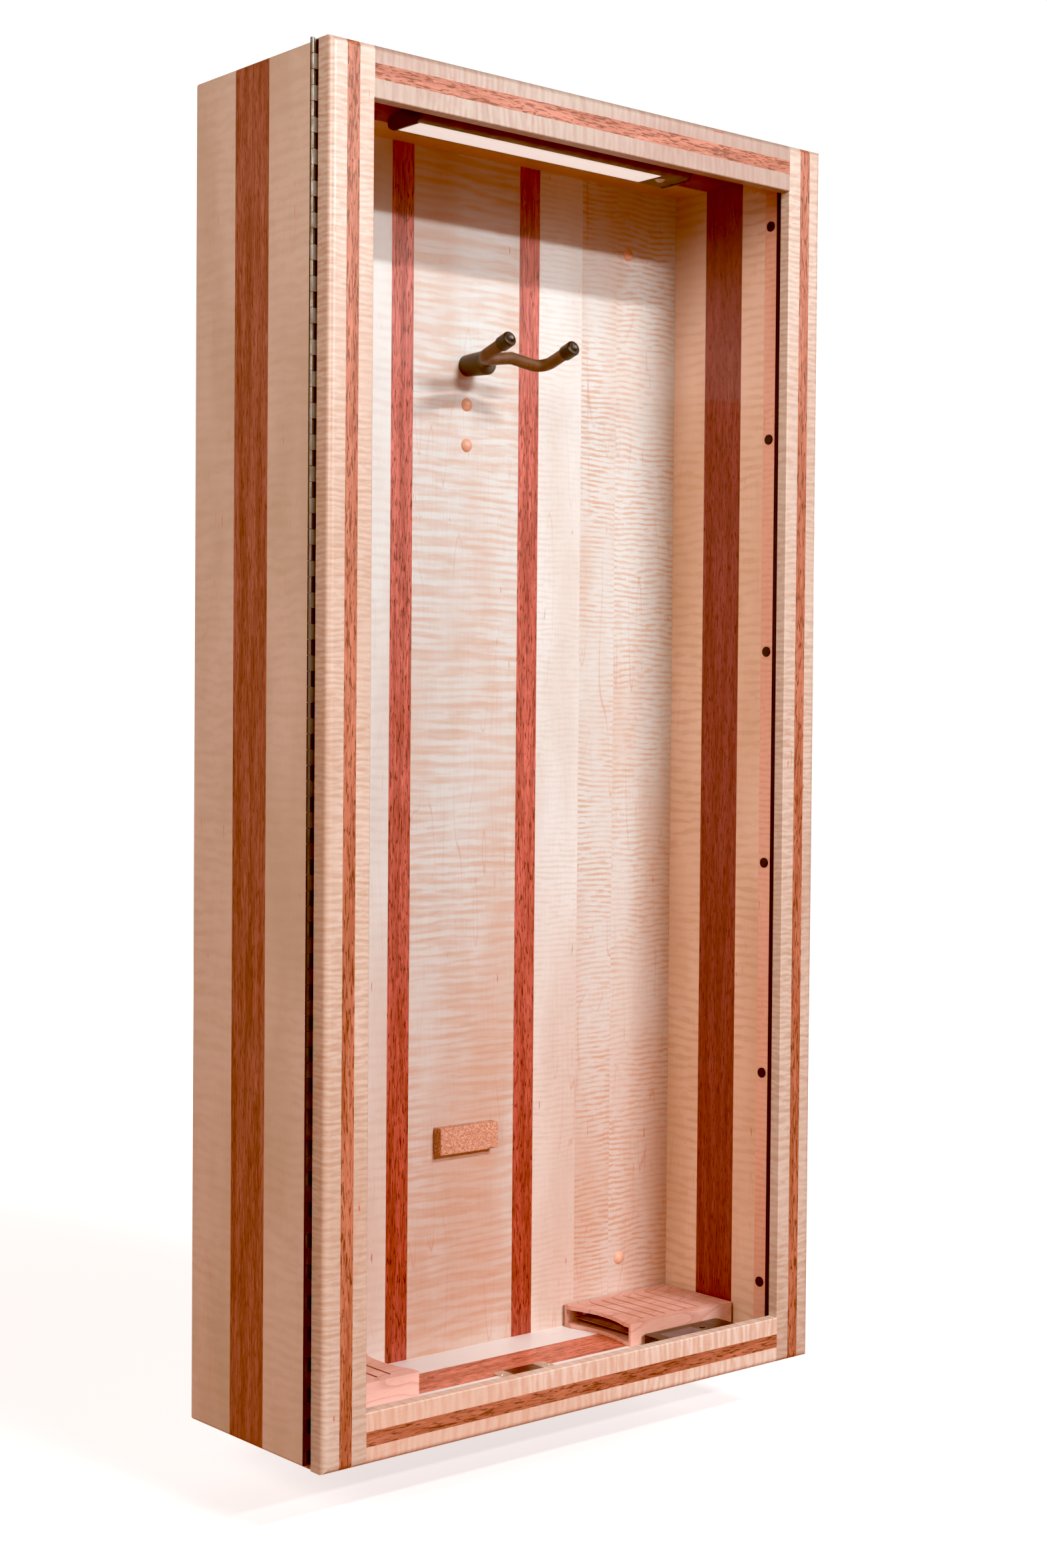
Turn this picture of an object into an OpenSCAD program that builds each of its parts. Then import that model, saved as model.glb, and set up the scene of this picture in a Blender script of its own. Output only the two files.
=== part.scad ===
// Wall-hung guitar display cabinet with a padded neck hanger, a glazed door on a
// full-height hinge, a light bar, two humidity-pack holders and a hygrometer.
// The back lies on the plane Y = 0, the door faces -Y, +X is to the right and +Z is up.
// The origin is the middle of the case's back face. All sizes are in millimetres.

/* [Case] */
// Outer width of the case
case_width = 575; // [450:1:700]
// Outer height of the case
case_height = 1160; // [1000:1:1400]
// Depth of the case without its door
case_depth = 177; // [160:1:240]
// Thickness of the side, top and floor boards
board = 17; // [14:0.5:22]
// Thickness of the back panel
panel = 16.5; // [14:0.5:20]
// Distance from the wall to the dark stripe in the case boards
stripe_back = 60.5; // [40:0.5:80]
// Width of the dark stripe in the case boards
stripe_width = 50; // [20:0.5:60]
// Easing radius along the case's long corners
case_ease = 3; // [1:0.5:6]

/* [Back panel] */
// Distance of each back stripe's centre line from the middle
back_stripe_at = 76.3; // [50:0.1:110]
// Width of each back stripe
back_stripe_width = 25.2; // [10:0.1:40]
// Where the tight-curled board starts, from the middle
curl_board_at = 144; // [120:1:170]
// Where the fine-curled board starts, from the middle
fine_board_at = 190; // [175:1:230]
// Size of the bores behind the screw buttons, for wall screws
wall_bore_d = 5.2; // [4:0.1:7]

/* [Screw buttons] */
// Diameter of a screw button's head
button_d = 12.4; // [10:0.1:16]
// Height of a screw button's dome
button_dome = 3.2; // [2:0.1:5]
// Diameter of a button's stem
button_stem_d = 9.4; // [8:0.1:10]
// Sideways distance of the corner buttons from the middle
corner_button_x = 204.5; // [150:0.5:240]
// Height of the upper corner buttons
upper_button_z = 498; // [400:1:520]
// Height of the lower corner buttons
lower_button_z = -506; // [-520:1:-400]
// Height of the upper centre button
centre_button_z = 330.3; // [310:0.1:335]
// Distance between the two centre buttons
centre_button_pitch = 38.1; // [25:0.1:60]

/* [Door] */
// Thickness of the door frame
door_thick = 17.5; // [14:0.5:22]
// Gap between the case and the door frame
door_gap = 3.5; // [3.2:0.1:6]
// Width of the door's stiles and rails
frame_width = 43.5; // [30:0.5:60]
// Distance from a stile's outer edge to its stripe
stile_trim_at = 16.1; // [10:0.1:24]
// Distance from a rail's outer edge to its stripe
rail_trim_at = 15; // [10:0.1:24]
// Width of the stripes in the door frame
trim_width = 12.6; // [6:0.1:16]
// Round-over radius on the door's outer front edges
door_round = 5.5; // [2:0.5:7]
// Round-over radius on the opening's front edges
open_round = 1.2; // [0.5:0.1:3]
// Thickness of the glass pane
pane = 3; // [2:0.5:4]
// Depth of the rebate behind the frame that takes the pane
rebate_depth = 6.5; // [5:0.5:9]
// How far the rebate goes under the frame
rebate_lip = 13; // [8:0.5:14]
// Width of the wooden beads that hold the pane
bead_width = 4.5; // [3:0.5:7]

/* [Hinge] */
// Number of knuckles along the hinge
knuckles = 91; // [41:2:101]
// Diameter of the hinge's barrel
barrel_d = 3.6; // [3.4:0.1:4]
// Diameter of the hinge's pin
hinge_pin_d = 1.6; // [1.4:0.1:2]
// Distance of the hinge's axis outside the case's side
barrel_out = 4.6; // [4:0.1:6]
// How far the hinge stops short of the case's bottom
hinge_short = 5; // [0:0.5:20]
// Thickness of the hinge's leaves
leaf = 1.2; // [0.8:0.1:1.3]
// Number of screws in each hinge leaf
leaf_screws = 9; // [5:1:13]

/* [Strike side] */
// Width of the thin strip on the right wall
strike_width = 34; // [20:1:50]
// Thickness of that strip
strike_thick = 1.8; // [1:0.1:3]
// Width of the black seal at the strip's front
seal_width = 17.6; // [10:0.1:20]
// Thickness of the black seal
seal_thick = 1.2; // [0.8:0.1:2]
// Diameter of the black screw covers
cover_d = 9.8; // [6:0.1:12]
// Distance between the screw covers
cover_pitch = 205.7; // [150:0.1:210]
// Depth of the screw covers' row from the wall
cover_y = 151; // [148:0.5:153]

/* [Hanger] */
// Height of the hanger's axis
hanger_z = 366.5; // [350:0.5:400]
// Diameter of the collar at the panel
collar_rear_d = 20; // [17:0.5:24]
// Diameter of the collar at its front
collar_front_d = 23; // [18:0.5:26]
// Length of the collar
collar_long = 30.5; // [25:0.5:45]
// Distance from the wall to the yoke's cross bar
yoke_y = 81; // [70:1:95]
// Half of the distance between the two prongs
yoke_half = 38; // [30:0.5:45]
// How far the cross bar drops towards its ends
yoke_drop = 5.5; // [0:0.5:8]
// How far a prong reaches forward
prong_reach = 44; // [35:1:50]
// How far a prong rises
prong_rise = 14; // [5:0.5:20]
// Bend radius of the yoke's elbows
elbow_bend = 13; // [11:0.5:16]
// Diameter of the yoke's steel rod
rod_d = 6.4; // [5:0.1:7]
// Diameter of the padded sleeve
sleeve_d = 11.2; // [9:0.1:13]
// Diameter of the end caps
yoke_cap_d = 14; // [13.4:0.1:18]
// Length of the end caps
yoke_cap_long = 13; // [8:0.5:18]
// Diameter of the yoke's stub that turns in the collar
stub_d = 8; // [6.5:0.1:9]

/* [Light bar] */
// Left end of the light bar's body
light_left = -143; // [-200:1:-100]
// Right end of the light bar's body
light_right = 178; // [150:1:220]
// Distance from the wall to the light bar's middle
light_y = 107.5; // [95:0.5:115]
// Depth of the light bar
light_deep = 47; // [40:1:55]
// Height of the light bar
light_high = 13; // [10:0.5:16]
// Depth of the light bar's diffuser
diffuser_deep = 32; // [20:1:36]
// Right end of the diffuser
diffuser_right = 147.7; // [120:0.1:160]
// Diameter of the motion sensor's dome
sensor_d = 9.6; // [6:0.1:12]

/* [Rest pad and name plate] */
// Width of the cork rest pad
pad_wide = 70; // [40:1:120]
// Height of the cork rest pad
pad_high = 26; // [15:1:50]
// Thickness of the cork rest pad
pad_thick = 11.8; // [8:0.1:16]
// Height of the cork rest pad's middle
pad_z = -361.3; // [-420:0.1:-330]
// Width of the name plate over its rounded ends
plate_wide = 64; // [50:1:80]
// Depth of the name plate
plate_deep = 21.6; // [16:0.1:30]
// Thickness of the name plate
plate_thick = 0.8; // [0.5:0.1:1.5]
// Distance from the wall to the name plate's middle
plate_y = 112.8; // [90:0.1:125]

/* [Pack holders] */
// Length of a pack holder, sideways
holder_long = 137; // [110:1:140]
// Depth of a pack holder, from back to front
holder_deep = 97.5; // [90:0.5:105]
// Height of a pack holder
holder_high = 21.4; // [18:0.1:26]
// Wall thickness of a pack holder
holder_wall = 3.8; // [3:0.1:5]
// Where the right holder's open end stands
holder_right_x = 130; // [120:0.5:132]
// Where the left holder's open end stands
holder_left_x = -124.7; // [-130:0.1:-115]
// Distance from the wall to a holder's back
holder_y = 18.3; // [17.5:0.1:30]
// Distance between the slots in a holder
slot_pitch = 14.67; // [12:0.01:16]
// Width of the slots
slot_width = 2.4; // [1.5:0.1:4]
// Length of the slots
slot_long = 78; // [50:1:84]
// Depth of the finger scallops at the open end
scallop_deep = 7.5; // [4:0.5:10]
// Length of a humidity pack
pack_long = 118; // [90:1:122]
// Width of a humidity pack
pack_wide = 82; // [60:1:86]
// Thickness of a filled humidity pack
pack_thick = 10.5; // [6:0.5:12]

/* [Hygrometer] */
// Left edge of the hygrometer
hygro_left = 143.5; // [142:0.5:150]
// Width of the hygrometer
hygro_wide = 99; // [80:1:110]
// Depth of the hygrometer
hygro_deep = 50; // [35:1:55]
// Thickness of the hygrometer
hygro_thick = 10; // [8:0.5:14]
// Distance from the wall to the hygrometer's back edge
hygro_y = 117.8; // [117:0.1:122]
// Width of the hygrometer's display window
window_wide = 43; // [30:1:60]

/* [Hidden] */
$fn = 48;
half_width = case_width / 2;
half_height = case_height / 2;
inner_x = half_width - board;
inner_z = half_height - board;
stripe_front = stripe_back + stripe_width;
door_rear = case_depth + door_gap;
door_front = door_rear + door_thick;
open_x = half_width - frame_width;
open_z = half_height - frame_width;
stripe_in = back_stripe_at - back_stripe_width / 2;
stripe_out = back_stripe_at + back_stripe_width / 2;
floor_z = -inner_z;
// Air left under or beside a loose piece
rest_gap = 0.3;
// Far enough to pass through any board
past = 1000;
// How a bent bar's stretches join: their lap, and the step up to the bend
bend_lap = 0.3;
bend_step = 0.02;

// Hinge
axis_x = -half_width - barrel_out;
axis_y = case_depth + door_gap / 2;
knuckle_pitch = (case_height - hinge_short) / knuckles;
knuckle_gap = 0.35;
hinge_bottom = -half_height + hinge_short;
pin_clearance = 0.05;
leaf_wide = board - 0.5;
leaf_screw_d = 2.8;
leaf_screw_head = 4.8;
leaf_screw_long = 12;
screw_fit = 0.05;

// Hanger
collar_front = panel + collar_long;
stub_rear = 26;
groove_at = 37.5;
groove_wide = 4.6;
groove_r = 2.9;
grub_d = 3.6;
grub_tip = 3.4;
spigot_d = 12;
spigot_long = 8;
yoke_mid = [0, -yoke_y, hanger_z];
tip_y = -yoke_y - prong_reach;
tip_z = hanger_z - yoke_drop + prong_rise;
prong_len = norm([prong_reach, prong_rise]);

// Light bar
strip_thick = 1.2;
light_top = inner_z - strip_thick - rest_gap;
light_bottom = light_top - light_high;
light_cap = 2.5;
diffuser_left = light_left + 2.7;
diffuser_thick = 3;
light_cavity = 5;

// Screw buttons
corner_spots = [
  [corner_button_x, upper_button_z],
  [-corner_button_x, upper_button_z],
  [corner_button_x, lower_button_z],
  [-corner_button_x, lower_button_z]
];
centre_spots = [
  [0, centre_button_z],
  [0, centre_button_z - centre_button_pitch]
];
button_stem = 5.5;
// Room under a button's stem for the head of a wall screw
screw_head_room = 4.5;

// Holders
holder_floor = floor_z + rest_gap;
slot_first = 25.1;
holder_corner = 2;
scallop_half = 38;

// Hygrometer
window_left = hygro_left + 13.5;
window_back = hygro_y + 8.5;
window_deep = 27;
button_x = hygro_left + 64;
button_y = hygro_y + 15.7;
hygro_top = floor_z + rest_gap + hygro_thick;
// The button's size, and how far it stands out and can be pressed
press_d = 5;
press_deep = 1.2;
press_proud = 0.5;
press_travel = 0.4;

// ---------- shared shapes ----------

// A box given by its low and high corners
module block(low, high) {
  translate(low) cube(high - low);
}

// A round bar from one point to another
module bar(from, to, r) {
  d = to - from;
  translate(from)
    rotate([0, acos(d[2] / norm(d)), atan2(d[1], d[0])])
      cylinder(h = norm(d), r = r);
}

// A round bar that runs from a past the corner b to c, with a bend at b.
// The bend is a hair thicker than the straight stretches that lap into it.
module bent_bar(a, b, c, bend, r) {
  u = (a - b) / norm(a - b);
  v = (c - b) / norm(c - b);
  inside = acos(u * v);
  reach = bend / tan(inside / 2);
  p = b + u * reach;
  q = b + v * reach;
  centre = b + (u + v) / norm(u + v) * bend / sin(inside / 2);
  e1 = (p - centre) / bend;
  side = (q - centre) - ((q - centre) * e1) * e1;
  e2 = side / norm(side);
  e3 = cross(e1, e2);
  bar(a, p - u * bend_lap, r);
  bar(q - v * bend_lap, c, r);
  multmatrix([
    [e1[0], e2[0], e3[0], centre[0]],
    [e1[1], e2[1], e3[1], centre[1]],
    [e1[2], e2[2], e3[2], centre[2]],
    [0, 0, 0, 1]
  ])
    rotate_extrude(angle = 180 - inside)
      translate([bend, 0]) circle(r = r + bend_step);
}

// A flat rectangle with all four corners rounded, drawn from its low corner
module round_rect(size, r) {
  translate([r, 0]) square([size[0] - 2 * r, size[1]]);
  translate([0, r]) square([size[0], size[1] - 2 * r]);
  for (x = [r, size[0] - r], y = [r, size[1] - r])
    translate([x, y]) circle(r = r);
}

// Everything on both sides of the middle
module both_sides() {
  children();
  mirror([1, 0, 0]) children();
}

// ---------- case ----------

// The case's outline from the front, as deep as the case
module case_blank() {
  rotate([90, 0, 0])
    linear_extrude(case_depth)
      translate([-half_width, -half_height])
        round_rect([case_width, case_height], case_ease);
}

// The two maple strips of a case board that spans from low to high in X and Z
module maple_strips(low, high) {
  intersection() {
    case_blank();
    union() {
      block([low[0], -stripe_back, low[1]], [high[0], 0, high[1]]);
      block([low[0], -case_depth, low[1]], [high[0], -stripe_front, high[1]]);
    }
  }
}

// The dark stripe of the same board
module dark_strip(low, high) {
  intersection() {
    case_blank();
    block([low[0], -stripe_front, low[1]], [high[0], -stripe_back, high[1]]);
  }
}

module side_left_maple() {
  color("#d9b48f") difference() {
    maple_strips([-half_width, -half_height], [-inner_x, half_height]);
    leaf_screw_places(-case_depth - leaf, 1)
      pilot_hole();
  }
}

module side_left_stripe() {
  color("#8a3d22") dark_strip([-half_width, -half_height], [-inner_x, half_height]);
}

module side_right_maple() {
  color("#d9b48f") maple_strips([inner_x, -half_height], [half_width, half_height]);
}

module side_right_stripe() {
  color("#8a3d22") dark_strip([inner_x, -half_height], [half_width, half_height]);
}

module top_maple() {
  color("#d9b48f") maple_strips([-inner_x, inner_z], [inner_x, half_height]);
}

module top_stripe() {
  color("#8a3d22") dark_strip([-inner_x, inner_z], [inner_x, half_height]);
}

module floor_maple() {
  color("#d9b48f") maple_strips([-inner_x, -half_height], [inner_x, -inner_z]);
}

module floor_stripe() {
  color("#8a3d22") dark_strip([-inner_x, -half_height], [inner_x, -inner_z]);
}

// ---------- back panel ----------

// One board of the back panel
module back_board(from, to) {
  difference() {
    block([from, -panel, -inner_z], [to, 0, inner_z]);
    for (spot = concat(corner_spots, centre_spots))
      if (spot[0] > from && spot[0] < to)
        translate([spot[0], 0, spot[1]]) rotate([90, 0, 0]) {
          translate([0, 0, -1]) cylinder(h = panel + 2, d = wall_bore_d);
          translate([0, 0, panel - button_stem - screw_head_room])
            cylinder(h = panel, d = button_stem_d + 2 * screw_fit);
        }
  }
}

module back_board_left() {
  color("#e6cba8") back_board(-inner_x, -stripe_out);
}

module back_board_centre() {
  color("#e6cba8") difference() {
    back_board(-stripe_in, stripe_in);
    translate([0, -panel + spigot_long + 0.5, hanger_z]) rotate([90, 0, 0])
      cylinder(h = panel, d = spigot_d + 2 * screw_fit);
  }
}

module back_board_plain() {
  color("#e8cfae") back_board(stripe_out, curl_board_at);
}

module back_board_curl() {
  color("#e3c6a0") back_board(curl_board_at, fine_board_at);
}

module back_board_fine() {
  color("#e6cba8") back_board(fine_board_at, inner_x);
}

module back_stripes() {
  color("#9a4a2c") both_sides() back_board(stripe_in, stripe_out);
}

// Wooden buttons that close the wall-screw bores
module screw_buttons() {
  head_r = button_d / 2;
  ball_r = (head_r * head_r + button_dome * button_dome) / (2 * button_dome);
  rim = 0.6;
  color("#e3b98c") for (spot = concat(corner_spots, centre_spots))
    translate([spot[0], -panel, spot[1]]) rotate([90, 0, 0])
      rotate_extrude() {
        translate([0, -button_stem]) square([button_stem_d / 2, button_stem + 0.1]);
        square([head_r, rim]);
        intersection() {
          translate([0, rim + button_dome - ball_r]) circle(r = ball_r, $fn = 96);
          translate([0, rim]) square([head_r, button_dome + 1]);
        }
      }
}

// ---------- strike side ----------

module strike_strip() {
  color("#d9b48f")
    block([inner_x - strike_thick, -case_depth, -inner_z],
          [inner_x, -case_depth + strike_width, inner_z]);
}

module strike_seal() {
  seal_x = inner_x - strike_thick;
  color("#101010")
    block([seal_x - seal_thick, -case_depth, -inner_z],
          [seal_x, -case_depth + seal_width, inner_z]);
}

module strike_covers() {
  seal_x = inner_x - strike_thick;
  proud = 1.6;
  color("#181818") for (k = [-2.5:1:2.5])
    translate([seal_x, -cover_y, k * cover_pitch]) rotate([0, -90, 0])
      rotate_extrude() {
        square([cover_d / 2, proud - 0.6]);
        square([cover_d / 2 - 0.6, proud]);
        translate([cover_d / 2 - 0.6, proud - 0.6]) circle(r = 0.6, $fn = 24);
      }
}

// ---------- hinge ----------

// Puts its children at each screw of a leaf that faces toward the case or the door
module leaf_screw_places(y, facing) {
  step = (case_height - hinge_short) / leaf_screws;
  for (k = [0:leaf_screws - 1])
    translate([-inner_x - board / 2, y, hinge_bottom + (k + 0.5) * step])
      rotate([facing > 0 ? -90 : 90, 0, 0]) children();
}

// The shape of a countersunk leaf screw, head on the leaf's open face
module leaf_screw(grow) {
  head_high = (leaf_screw_head - leaf_screw_d) / 2;
  cylinder(h = leaf_screw_long, d = leaf_screw_d + 2 * grow);
  cylinder(h = head_high, d1 = leaf_screw_head + 2 * grow, d2 = leaf_screw_d + 2 * grow);
}

module pilot_hole() {
  translate([0, 0, -0.01]) leaf_screw(screw_fit);
}

// Knuckles first, first + 2 and so on, each with its tab to the leaf
module knuckle_row(first, tab_low, tab_high) {
  for (k = [first:2:knuckles - 1]) {
    z = hinge_bottom + k * knuckle_pitch + knuckle_gap / 2;
    long = knuckle_pitch - knuckle_gap;
    translate([axis_x, -axis_y, z]) cylinder(h = long, d = barrel_d, $fn = 24);
    block([axis_x, -tab_low, z], [-half_width + 0.6, -tab_high, z + long]);
  }
}

// A leaf with its knuckles, bored for the pin
module hinge_leaf(first, low, high) {
  difference() {
    union() {
      knuckle_row(first, low, high);
      block([-half_width + 0.2, -low, hinge_bottom],
            [-half_width + leaf_wide, -high, half_height]);
    }
    translate([axis_x, -axis_y, -past])
      cylinder(h = 2 * past, d = hinge_pin_d + 2 * pin_clearance, $fn = 24);
  }
}

module hinge_leaf_case() {
  color("#8d8a83") difference() {
    hinge_leaf(0, case_depth + leaf, case_depth);
    leaf_screw_places(-case_depth - leaf, 1) pilot_hole();
  }
}

module hinge_leaf_door() {
  color("#8d8a83") difference() {
    hinge_leaf(1, door_rear, door_rear - leaf);
    leaf_screw_places(-door_rear + leaf, -1) pilot_hole();
  }
}

module hinge_pin() {
  color("#77746d") translate([axis_x, -axis_y, hinge_bottom])
    cylinder(h = case_height - hinge_short, d = hinge_pin_d, $fn = 24);
}

module slotted_leaf_screw() {
  slot = 0.6;
  difference() {
    leaf_screw(0);
    for (turn = [0, 90])
      rotate([0, 0, turn])
        block([-leaf_screw_head / 3, -slot / 2, -slot], [leaf_screw_head / 3, slot / 2, slot]);
  }
}

module hinge_screws_case() {
  color("#9a978f") leaf_screw_places(-case_depth - leaf, 1) slotted_leaf_screw();
}

module hinge_screws_door() {
  color("#9a978f") leaf_screw_places(-door_rear + leaf, -1) slotted_leaf_screw();
}

// ---------- hanger ----------

module hanger_collar() {
  edge = 1.2;
  color("#17150f") difference() {
    translate([0, -panel, hanger_z]) rotate([90, 0, 0]) {
      cylinder(h = collar_long - edge, d1 = collar_rear_d, d2 = collar_front_d);
      translate([0, 0, collar_long - edge])
        cylinder(h = edge, d1 = collar_front_d, d2 = collar_front_d - 2 * edge);
      translate([0, 0, -spigot_long]) cylinder(h = spigot_long + 1, d = spigot_d);
    }
    translate([0, -stub_rear + 1.5, hanger_z]) rotate([90, 0, 0])
      cylinder(h = past, d = stub_d + 2 * pin_clearance);
    translate([0, -groove_at, hanger_z - past])
      cylinder(h = past, d = grub_d + 2 * screw_fit);
  }
}

module hanger_grub_screw() {
  socket = 1.8;
  long = collar_rear_d / 2 - 0.4 - grub_tip;
  color("#2b2b2b") translate([0, -groove_at, hanger_z - grub_tip]) rotate([180, 0, 0])
    difference() {
      cylinder(h = long, d = grub_d);
      translate([0, 0, long - 1.5]) cylinder(h = 2, d = socket, $fn = 6);
    }
}

// One half of the yoke's line, from the middle round the elbow to the prong's tip
module yoke_line(side, r, short) {
  elbow = [side * yoke_half, -yoke_y, hanger_z - yoke_drop];
  tip = [side * yoke_half, tip_y, tip_z];
  back = (elbow - tip) / norm(elbow - tip) * short;
  bent_bar(yoke_mid, elbow, tip + back, elbow_bend, r);
}

module stub(r) {
  translate([0, -stub_rear, hanger_z]) rotate([90, 0, 0])
    cylinder(h = yoke_y - stub_rear, r = r);
}

module yoke_rod() {
  color("#8c8880") {
    for (side = [-1, 1])
      yoke_line(side, rod_d / 2, 3);
    translate(yoke_mid) sphere(r = rod_d / 2 + bend_step);
    difference() {
      stub(stub_d / 2);
      translate([0, -groove_at + groove_wide / 2, hanger_z]) rotate([90, 0, 0])
        rotate_extrude() translate([groove_r, 0]) square([stub_d, groove_wide]);
    }
  }
}

module yoke_sleeve() {
  color("#33271b") difference() {
    union() {
      for (side = [-1, 1])
        yoke_line(side, sleeve_d / 2, 2.5);
      translate(yoke_mid) sphere(r = sleeve_d / 2 + bend_step);
    }
    for (side = [-1, 1])
      yoke_line(side, rod_d / 2 + screw_fit, -5);
    translate(yoke_mid) sphere(r = rod_d / 2 + screw_fit + bend_step);
    stub(stub_d / 2 + screw_fit);
  }
}

// The end cap's half outline, bored from its rear, with a dimple in its end
module yoke_cap_shape() {
  r = yoke_cap_d / 2;
  round = 1.8;
  dimple_r = 9;
  difference() {
    rotate_extrude() {
      square([r, yoke_cap_long - round]);
      square([r - round, yoke_cap_long]);
      translate([r - round, yoke_cap_long - round]) circle(r = round, $fn = 32);
    }
    translate([0, 0, -1]) cylinder(h = yoke_cap_long - 1.5, d = sleeve_d + 2 * screw_fit);
    translate([0, 0, yoke_cap_long + dimple_r - 0.8]) sphere(r = dimple_r);
  }
}

module yoke_caps() {
  tilt = atan2(prong_reach, prong_rise);
  color("#0d0d0c") both_sides()
    translate([yoke_half, tip_y, tip_z]) rotate([tilt, 0, 0])
      translate([0, 0, -yoke_cap_long + 0.3]) yoke_cap_shape();
}

// ---------- rest pad and name plate ----------

module rest_pad() {
  color("#b98a5e")
    block([-pad_wide / 2 + 1.2, -panel - pad_thick, pad_z - pad_high / 2],
          [pad_wide / 2 + 1.2, -panel, pad_z + pad_high / 2]);
}

module name_plate() {
  pin_x = plate_wide / 2 - 4;
  color("#b7a894") translate([0, -plate_y, floor_z]) difference() {
    linear_extrude(plate_thick) intersection() {
      circle(d = plate_wide, $fn = 96);
      translate([-plate_wide / 2, -plate_deep / 2]) square([plate_wide, plate_deep]);
    }
    for (side = [-1, 1])
      translate([side * pin_x, 0, -1]) cylinder(h = 3, d = 1.3);
  }
}

module plate_pins() {
  pin_x = plate_wide / 2 - 4;
  color("#d8d4c8") for (side = [-1, 1])
    translate([side * pin_x, -plate_y, floor_z]) rotate_extrude() {
      square([0.6, plate_thick + 0.2]);
      translate([0, plate_thick]) intersection() {
        circle(r = 1.4, $fn = 32);
        square([1.4, 1.4]);
      }
    }
}

// ---------- light bar ----------

module light_magnet_strip() {
  color("#3a3936")
    block([light_left + 20, -light_y - 6, inner_z - strip_thick],
          [light_right - 20, -light_y + 6, inner_z]);
}

// The light bar's cross-section, grown by a margin, extruded sideways
module light_section(from, to, grow, lower) {
  r = light_high / 2 + grow;
  translate([from, 0, 0]) rotate([90, 0, 90]) linear_extrude(to - from)
    translate([-light_y - light_deep / 2 - grow, light_bottom - grow])
      round_rect([light_deep + 2 * grow, light_high + 2 * grow], r - 0.01);
  if (lower > 0)
    block([from, -light_y - light_deep / 2 + 7, light_bottom - lower],
          [to, -light_y + light_deep / 2 - 7, light_bottom + 2]);
}

module light_housing() {
  low = -light_y - diffuser_deep / 2;
  high = -light_y + diffuser_deep / 2;
  color("#2e2a20") difference() {
    light_section(light_left, light_right, 0, 0);
    block([diffuser_left, low, light_bottom - 1], [diffuser_right, high, light_bottom + diffuser_thick]);
    block([diffuser_left + 3, low + 3, light_bottom],
          [diffuser_right - 3, high - 3, light_bottom + diffuser_thick + light_cavity]);
    translate([diffuser_right + 9.5, -light_y - 4, light_bottom - 1])
      cylinder(h = 4, d = sensor_d + 2 * screw_fit);
  }
}

module light_diffuser() {
  low = -light_y - diffuser_deep / 2;
  high = -light_y + diffuser_deep / 2;
  color("#f7f7f2")
    block([diffuser_left, low, light_bottom], [diffuser_right, high, light_bottom + diffuser_thick]);
}

module light_end_caps() {
  screw_y = -light_y - light_deep / 2 + 9;
  color("#211e16") difference() {
    union() {
      light_section(light_left - light_cap, light_left, 0.2, 1.2);
      light_section(light_right, light_right + light_cap, 0.2, 1.2);
    }
    for (x = [light_left - light_cap, light_right + light_cap])
      translate([x, screw_y, light_bottom + light_high / 2 + 1]) rotate([0, 90, 0])
        cylinder(h = 1.2, d = 3, center = true);
  }
}

module light_sensor() {
  color("#d9c8bd") translate([diffuser_right + 9.5, -light_y - 4, light_bottom])
    rotate([180, 0, 0]) rotate_extrude() {
      translate([0, -2.5]) square([sensor_d / 2, 2.5]);
      intersection() {
        translate([0, -3.2]) circle(r = 5.8, $fn = 64);
        square([sensor_d / 2, 6]);
      }
    }
}

// ---------- door ----------

// Door-frame outline in one direction, half-width w, rounded at its front edges
module door_profile(w) {
  difference() {
    translate([-w, -door_front]) square([2 * w, door_thick]);
    for (side = [-1, 1])
      translate([side * (w - door_round), -door_front + door_round])
        difference() {
          translate([side > 0 ? 0 : -door_round - 1, -door_round - 1])
            square(door_round + 1);
          circle(r = door_round);
        }
  }
}

// Door-opening outline in one direction, half-width w, flared at its front edge
module opening_profile(w) {
  flare = open_round;
  translate([-w, -door_front - 1]) square([2 * w, door_thick + 2]);
  for (side = [-1, 1])
    difference() {
      translate([side > 0 ? w : -w - flare, -door_front - 1]) square([flare, flare + 1]);
      translate([side * (w + flare), -door_front + flare]) circle(r = flare);
    }
}

// A profile drawn in X and Y, run the whole way up
module run_up() {
  translate([0, 0, -past]) linear_extrude(2 * past) children();
}

// A profile drawn in Z and Y, run the whole way across
module run_across() {
  rotate([0, -90, 0]) run_up() children();
}

// The whole frame in one piece, with its opening and the rebate for the pane
module frame_blank() {
  rebate_x = open_x + rebate_lip;
  rebate_z = open_z + rebate_lip;
  difference() {
    intersection() {
      run_up() door_profile(half_width);
      run_across() door_profile(half_height);
    }
    intersection() {
      run_up() opening_profile(open_x);
      run_across() opening_profile(open_z);
    }
    block([-rebate_x, -door_rear - rebate_depth, -rebate_z], [rebate_x, -door_rear + 1, rebate_z]);
  }
}

// The part of the frame between two X and two Z values, given as distances
module frame_piece(x, z) {
  intersection() {
    frame_blank();
    block([x[0], -door_front - 1, z[0]], [x[1], -door_rear + 1, z[1]]);
  }
}

// The maple on both sides of a stile's stripe
module stile_maple() {
  frame_piece([-half_width, -half_width + stile_trim_at], [-half_height, half_height]);
  frame_piece([-half_width + stile_trim_at + trim_width, -open_x], [-half_height, half_height]);
}

module stile_stripe() {
  frame_piece([-half_width + stile_trim_at, -half_width + stile_trim_at + trim_width],
              [-half_height, half_height]);
}

// The maple on both sides of a rail's stripe
module rail_maple() {
  frame_piece([-open_x, open_x], [half_height - rail_trim_at, half_height]);
  frame_piece([-open_x, open_x], [open_z, half_height - rail_trim_at - trim_width]);
}

module rail_stripe() {
  frame_piece([-open_x, open_x],
              [half_height - rail_trim_at - trim_width, half_height - rail_trim_at]);
}

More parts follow.
